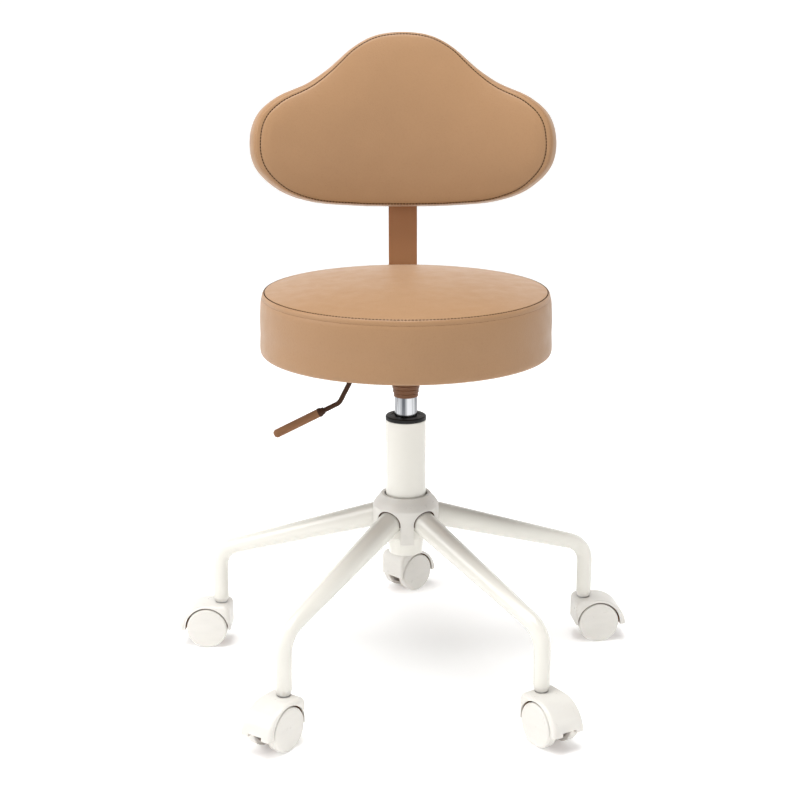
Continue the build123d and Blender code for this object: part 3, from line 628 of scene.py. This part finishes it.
def seat_profile():
    """Rings from the top panel down the band to the hem: radius, height, pucker, sewn or not, in mm."""
    seam_z = SEAM_Z / MM
    low = seat_low.z / MM
    top = [(150.5, 0.0, 0), (155.5, 0.0, 0), (160.5, 0.05, 0), (164.8, 0.10, 0), (167.8, 0.14, 0)]
    rows = [(r, crown_z(r * MM) / MM + 0.2, p, sewn) for r, p, sewn in top]
    rows += [(169.7, crown_z(0.1697) / MM + 0.10, 0.10, 1)]
    rows += [(170.4, crown_z(0.1704) / MM - 0.80, 0.0, 1)]
    rows += [(171.2, crown_z(0.1712) / MM - 0.10, 0.10, 1)]
    rows += [(172.5, seam_z - 1.2, 0.12, 1), (173.2, seam_z - 3.2, 0.12, 1)]
    rows += [(173.7, seam_z - 5.2, 0.06, 1), (173.3, seam_z - 6.3, 0.01, 1), (174.0, seam_z - 7.4, 0.08, 1)]
    rows += [(174.7, seam_z - 10, 0.18, 0), (175.1, seam_z - 13.5, 0.16, 0)]
    rows += [(175.4, seam_z - 18.5, 0.10, 0)]
    band = [24, 30, 36, 42, 48]
    rows += [(175.3 + 0.8 * math.sin(math.pi * (d - 18) / 36), seam_z - d, 0.05, 0) for d in band]
    rows += [(176.0, low + 18, 0.04, 0), (176.4, low + 10.5, 0.05, 0), (176.7, low + 5.0, 0.07, 0)]
    rows += [(176.3, low + 0.9, 0.08, 0), (174.5, low - 1.5, 0.10, 0), (170.0, low - 2.0, 0.10, 0)]
    rows += [(163.0, low - 0.5, 0.12, 1)]
    rows += [(157.0, low - 0.1, 0.12, 1), (151.0, low + 0.1, 0.06, 1), (145.6, low + 0.2, 0.0, 1)]
    rows += [(145.0, low + 0.7, 0.0, 1), (145.2, low + 1.2, 0.0, 1)]
    return rows


def build_seat_cushion():
    def cap(share, turn):
        radius = share * CAP_R
        return seat_point(radius, crown_z(radius) + 0.4 * MM, turn)

    def ring(row, seed):
        radius, z, amount, _ = row

        def at(turn):
            swell = 1.6 * amount * pucker(turn, seed)
            return seat_point((radius + swell) * MM, (z + 0.6 * swell) * MM, turn)

        return at

    profile = seat_profile()
    rings = [ring(row, 3.0 + 0.13 * k) for k, row in enumerate(profile)]
    piece, rows = cushion_mesh("seat_cushion", SEAT_GRID, cap, rings, None, materials["tan_leather"])
    mark_folds(piece, rows, profile)
    pinned = [i for row, spec in zip(rows[1:], profile) if spec[3] for i in row]
    inflate(piece, pinned, 2.2 * MM)
    radii = [row[0] for row in profile]
    route = ring_places(piece, rows, radii.index(170.4))
    fold = ring_places(piece, rows, radii.index(173.3))
    subdivide(piece)
    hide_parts("seat_cover", "seat_foam")
    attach(piece, "seat")
    stitches("seat_top_stitching", piece, route, 0.80 * MM)
    seam_shade_line("seat_top_seam_shade", piece, fold, 0.20 * MM)


# ---------------------------------------------------------------- backrest

BACK_GRID = 52
WRAP_R = 700 * MM
LEAN = math.radians(8)
BAR_UP = Vector((0, math.sin(LEAN), math.cos(LEAN)))
TOWARD = Vector((0, -math.cos(LEAN), math.sin(LEAN)))
BAR_FOOT_Y = 0.187
BACK_RISE = 0.1462
BACK_ORIGIN = Vector((0, BAR_FOOT_Y, seat_low.z)) + BAR_UP * BACK_RISE
BACK_HALF = 200.5
BACK_HEIGHT = 220.8
BACK_CENTRE = Vector((0, 98.0))
HALF_OUTLINE = [
    (0, 1.0),
    (38, 0.977),
    (66, 0.912),
    (98, 0.790),
    (126, 0.705),
    (168, 0.618),
    (191.5, 0.520),
    (BACK_HALF, 0.385),
    (195, 0.230),
    (166, 0.098),
    (125, 0.030),
    (66, 0.005),
    (0, 0.0),
]


def closed_curve(knots, count):
    """Even points along a smooth closed curve through the knots."""
    dense = []
    total = len(knots)
    for k in range(total):
        p0, p1, p2, p3 = (knots[(k + j - 1) % total] for j in range(4))
        t1 = math.sqrt((p1 - p0).length)
        t2 = t1 + math.sqrt((p2 - p1).length)
        t3 = t2 + math.sqrt((p3 - p2).length)
        for step in range(24):
            t = t1 + (t2 - t1) * step / 24
            a1 = p0.lerp(p1, t / t1)
            a2 = p1.lerp(p2, (t - t1) / (t2 - t1))
            a3 = p2.lerp(p3, (t - t2) / (t3 - t2))
            b1 = a1.lerp(a2, t / t2)
            b2 = a2.lerp(a3, (t - t1) / (t3 - t1))
            dense.append(b1.lerp(b2, (t - t1) / (t2 - t1)))
    lengths = [0.0]
    for start, end in zip(dense, dense[1:] + dense[:1]):
        lengths.append(lengths[-1] + (end - start).length)
    even, segment = [], 0
    for number in range(count):
        along = lengths[-1] * number / count
        while lengths[segment + 1] < along:
            segment += 1
        share = (along - lengths[segment]) / (lengths[segment + 1] - lengths[segment])
        even.append(dense[segment].lerp(dense[(segment + 1) % len(dense)], share))
    return even


def back_outline():
    """Outline in mm, across and up, anticlockwise from the right-hand lobe's widest point."""
    right = []
    for x, share in HALF_OUTLINE:
        right.append(Vector((WRAP_R / MM * math.asin(x * MM / WRAP_R), share * BACK_HEIGHT)))
    left = [Vector((-p.x, p.y)) for p in right[1:-1]]
    widest = HALF_OUTLINE.index((BACK_HALF, 0.385))
    return right[widest::-1] + left + right[:widest:-1]


OUTLINE_STEPS = 4 * BACK_GRID
outline_points = closed_curve(back_outline(), OUTLINE_STEPS)


def outline_at(turn, inset):
    """Point of the outline moved inwards, in mm."""
    place = turn * OUTLINE_STEPS
    k = round(place) % OUTLINE_STEPS
    here = outline_points[k]
    before, after = outline_points[k - 1], outline_points[(k + 1) % OUTLINE_STEPS]
    along = (after - before).normalized()
    return here - Vector((along.y, -along.x)) * inset


def back_point(place, depth):
    """Panel position in mm (across the wrap, up) and depth in mm before the bar's face."""
    angle = place.x * MM / WRAP_R
    reach = WRAP_R - depth * MM
    forward = WRAP_R - reach * math.cos(angle)
    across = Vector((1, 0, 0)) * reach * math.sin(angle)
    return BACK_ORIGIN + across + BAR_UP * place.y * MM + TOWARD * forward


STITCH_INSET = 6.5
# Inset of the stitched seam in mm at shares of the backrest's height.
STITCH_LINE = [(0, 2.0), (0.03, 2.6), (0.1, 4.6), (0.25, 8.0), (0.39, 9.0), (0.52, 8.2)]
STITCH_LINE += [(0.62, 6.8), (0.7, 5.4), (0.8, 3.4), (0.9, 2.6), (1.0, 2.8)]


def seam_shift(turn, inset):
    """How far the stitched seam strays inwards: wide at the lobes, close to the edge elsewhere."""
    nearest = outline_points[round(turn * OUTLINE_STEPS) % OUTLINE_STEPS]
    height = min(1.0, max(0.0, nearest.y / BACK_HEIGHT))
    stray = 0.0
    for (low, first), (high, second) in zip(STITCH_LINE, STITCH_LINE[1:]):
        if low <= height <= high:
            stray = first + (second - first) * (height - low) / (high - low) - STITCH_INSET
    if inset < STITCH_INSET:
        return stray * inset / STITCH_INSET
    return stray * max(0.0, (CAP_INSET - inset) / (CAP_INSET - STITCH_INSET))


def interpolated_outline(turn, inset):
    """The inset outline between its even points."""
    place = turn * OUTLINE_STEPS
    low = math.floor(place)
    first = outline_at((low % OUTLINE_STEPS) / OUTLINE_STEPS, inset)
    second = outline_at(((low + 1) % OUTLINE_STEPS) / OUTLINE_STEPS, inset)
    return first.lerp(second, place - low)


FRONT_SEAM = 35.5
CROWN = 9.0
CAP_INSET = 22.0


def front_depth(edge):
    """Depth of the front panel at a distance in mm from the outline."""
    return FRONT_SEAM + CROWN * (1 - math.exp(-max(0.0, edge - 1.5) / 17.0))


def backrest_profile():
    """Rings from the front panel round the band to the rear panel: inset, depth, pucker, sewn, in mm."""
    rows = []
    for inset in (18.0, 14.5, 11.5, 9.2):
        rows.append((inset, front_depth(inset), 0.03 + 0.004 * (18 - inset), 0))
    rows += [(7.3, front_depth(7.3) - 0.1, 0.10, 1), (6.5, front_depth(6.5) - 1.1, 0.0, 1)]
    rows += [(5.7, front_depth(5.7) - 0.1, 0.10, 1), (3.6, front_depth(3.6), 0.12, 1)]
    rows += [(1.8, FRONT_SEAM + 0.5, 0.10, 1), (1.9, FRONT_SEAM - 0.9, 0.01, 1)]
    rows += [(0.5, FRONT_SEAM - 2.2, 0.10, 1)]
    rows += [(0.0, 31.0, 0.14, 0), (-0.7, 27.5, 0.12, 0), (-1.2, 23.0, 0.08, 0), (-1.2, 18.0, 0.06, 0)]
    rows += [(-0.8, 13.0, 0.08, 0), (0.0, 9.0, 0.10, 0), (0.9, 6.0, 0.10, 1), (1.8, 4.4, 0.0, 1)]
    rows += [(2.6, 3.8, 0.10, 1), (5.0, 2.6, 0.10, 1), (9.0, 1.4, 0.06, 0), (14.0, 0.7, 0.04, 0)]
    return rows


def build_backrest_cushion():
    def panel(inset, depth_at):
        def at(share, turn):
            rim = interpolated_outline(turn, inset)
            place = BACK_CENTRE.lerp(rim, share)
            return back_point(place, depth_at(inset + (1 - share) * 90.0))

        return at

    def ring(row, seed):
        inset, depth, amount, _ = row

        def at(turn):
            swell = 1.5 * amount * pucker(turn, seed, 70.0)
            stray = seam_shift(turn, inset) if depth > 30 and inset > 0 else 0.0
            return back_point(interpolated_outline(turn, inset + stray - swell), depth + 0.5 * swell)

        return at

    profile = backrest_profile()
    rings = [ring(row, 40.0 + 0.13 * k) for k, row in enumerate(profile)]
    front = panel(CAP_INSET, front_depth)
    rear = panel(20.0, lambda edge: 0.5)
    leather = materials["tan_leather"]
    piece, rows = cushion_mesh("backrest_cushion", BACK_GRID, front, rings, rear, leather)
    mark_folds(piece, rows, profile)
    sewn = [i for row, spec in zip(rows[1:], profile) if spec[3] for i in row]
    rear_panel = list(range(rows[-1][0] - BACK_GRID, len(piece.data.vertices)))
    inflate(piece, sewn + rear_panel, 2.5 * MM)
    depths = [row[1] for row in profile]
    route = ring_places(piece, rows, [row[0] for row in profile].index(STITCH_INSET))
    front_fold = ring_places(piece, rows, depths.index(FRONT_SEAM - 0.9))
    rear_fold = ring_places(piece, rows, depths.index(4.4))
    subdivide(piece)
    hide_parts("backrest_cover", "backrest_foam")
    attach(piece, "seat")
    stitches("backrest_stitching", piece, route, 0.74 * MM)
    seam_shade_line("backrest_front_seam_shade", piece, front_fold, 0.22 * MM)
    seam_shade_line("backrest_rear_seam_shade", piece, rear_fold, 0.32 * MM)


# ---------------------------------------------------------------- small pieces


def turned(name, start, along, profile, material, around=40):
    """A turned ring: profile rows are distance along the axis and radius, in metres."""
    side = along.orthogonal().normalized()
    across = along.cross(side)
    points, faces = [], []
    for reach, radius in profile:
        for k in range(around):
            angle = 2 * math.pi * k / around
            outwards = side * math.cos(angle) + across * math.sin(angle)
            points.append(start + along * reach + outwards * radius)
    rows = len(profile)
    for row in range(rows):
        for k in range(around):
            following = (k + 1) % around
            low, high = row * around, (row + 1) % rows * around
            faces.append([low + k, low + following, high + following, high + k])
    return mesh_object(name, points, faces, material)


def build_grip_collar():
    """The ferrule where the rod enters the grip; its dark colour is painted shade, for the dark ring at the
    step.
    """
    grip_start = Vector((-104.0, 0.0, 336.2)) * MM
    along = (Vector((-162.0, 0.0, 307.0)) * MM - grip_start).normalized()
    rows = [(-4.2, 3.02), (-4.2, 3.9), (-3.9, 4.3), (-2.4, 4.5), (-1.9, 4.3), (-1.4, 4.3), (-0.9, 4.9)]
    rows += [(0.6, 5.5), (1.6, 5.65), (3.4, 5.65), (3.9, 5.35), (3.9, 5.28), (0.0, 5.28), (-0.2, 3.02)]
    profile = [(reach * MM, radius * MM) for reach, radius in rows]
    piece = turned("lever_grip_collar", grip_start, along, profile, darker["lever_rod"])
    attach(piece, "lever")


BASE_TURN = 1.2
LEG_STEP = 72
STEM_CIRCLE_R = 252.0
LEG_DROP = math.radians(18.0)
LEG_CORNER_Z = 130.6
ARCH_R = 16.9
ROOT_R = 15.6
COVER_FACE = 41.0


def build_leg_root_shade():
    """Painted shade: a dark arc in the top of each leg's opening in the hub cover, for the shade in the gap
    there, in mm.
    """
    points, faces = [], []
    steps = 40
    axis_z = LEG_CORNER_Z + STEM_CIRCLE_R * math.tan(LEG_DROP)
    section = [(0.35, ARCH_R), (0.35, ROOT_R + 0.25), (0.6, ROOT_R), (4.6, ROOT_R), (4.6, ARCH_R)]
    for leg in range(len(CASTERS)):
        angle = math.radians(90 + BASE_TURN + LEG_STEP * leg)
        outward = Vector((math.cos(angle), math.sin(angle), 0))
        side = Vector((-outward.y, outward.x, 0))
        slope = outward * math.cos(LEG_DROP) - UP * math.sin(LEG_DROP)
        rise = outward * math.sin(LEG_DROP) + UP * math.cos(LEG_DROP)
        for step in range(steps + 1):
            theta = math.radians(-6 + 192 * step / steps)
            for recess, radius in section:
                across = radius * math.cos(theta)
                reach = math.sqrt((COVER_FACE - recess) ** 2 - across**2)
                along = (reach - radius * math.sin(theta) * math.sin(LEG_DROP)) / math.cos(LEG_DROP)
                on_ring = side * across + rise * (radius * math.sin(theta))
                points.append((UP * axis_z + on_ring + slope * along) * MM)
        size = len(section)
        first = len(points) - (steps + 1) * size
        for step in range(steps):
            low = first + step * size
            for k in range(size):
                following = (k + 1) % size
                faces.append([low + k, low + following, low + size + following, low + size + k])
        faces.append([first + k for k in range(size)][::-1])
        faces.append([first + steps * size + k for k in range(size)])
    piece = mesh_object("leg_root_shade_arcs", points, faces, root_shade_nylon)
    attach(piece, "base")


# ---------------------------------------------------------------- studio


FLOOR_R = 5.0
FLOOR_CURVE = 2.2
FLOOR_TOP = 4.5


def build_floor():
    """A pale paper bowl: a flat floor that curves up into a round wall."""
    profile = [(0.0, 0.0), (FLOOR_R, 0.0)]
    for k in range(1, 13):
        angle = math.pi / 2 * k / 12
        profile.append((FLOOR_R + FLOOR_CURVE * math.sin(angle), FLOOR_CURVE * (1 - math.cos(angle))))
    profile.append((FLOOR_R + FLOOR_CURVE, FLOOR_TOP))
    around = 72
    points = [Vector((0, 0, 0))]
    for radius, z in profile[1:]:
        for k in range(around):
            angle = 2 * math.pi * k / around
            points.append(Vector((radius * math.cos(angle), radius * math.sin(angle), z)))
    faces = [[0, 1 + k, 1 + (k + 1) % around] for k in range(around)]
    for ring in range(len(profile) - 2):
        for k in range(around):
            low = 1 + ring * around
            following = (k + 1) % around
            faces.append([low + k, low + around + k, low + around + following, low + following])
    floor = mesh_object("studio_floor", points, faces, studio_paper("studio_paper"))


def build_lights():
    """Even grey surroundings and three soft round lamps."""
    world = bpy.data.worlds.new("studio")
    world.use_nodes = True
    world.node_tree.nodes["Background"].inputs["Color"].default_value = (1.0, 0.99, 0.975, 1)
    world.node_tree.nodes["Background"].inputs["Strength"].default_value = 0.20
    bpy.context.scene.world = world
    lights = [
        ("key", (-2.3, -0.6, 1.8), (0, 0, 0.45), 1.6, 25),
        ("fill", (2.2, -1.9, 1.5), (0, 0, 0.40), 1.8, 1.5),
        ("top", (-0.25, -0.30, 2.9), (0, 0, 0.3), 2.2, 92),
    ]
    for name, place, target, size, power in lights:
        lamp = bpy.data.lights.new(name, "AREA")
        lamp.shape = "DISK"
        lamp.size = size
        lamp.energy = power
        holder = bpy.data.objects.new(name, lamp)
        holder.location = place
        aim = Vector(target) - Vector(place)
        holder.rotation_euler = aim.to_track_quat("-Z", "Y").to_euler()
        bpy.context.scene.collection.objects.link(holder)


def build_camera():
    """The photo's view."""
    lens = bpy.data.cameras.new("photo_camera")
    lens.sensor_width = 36.0
    lens.lens = 69.83
    camera = bpy.data.objects.new("photo_camera", lens)
    camera.location = (-0.0385, -1.8370, 0.8505)
    camera.rotation_euler = (math.radians(74.78), 0, math.radians(-0.975))
    bpy.context.scene.collection.objects.link(camera)
    bpy.context.scene.camera = camera
    bpy.context.scene.view_settings.view_transform = "Standard"


dress_cad_nodes()
build_seat_cushion()
build_backrest_cushion()
build_grip_collar()
build_leg_root_shade()
build_floor()
build_lights()
build_camera()
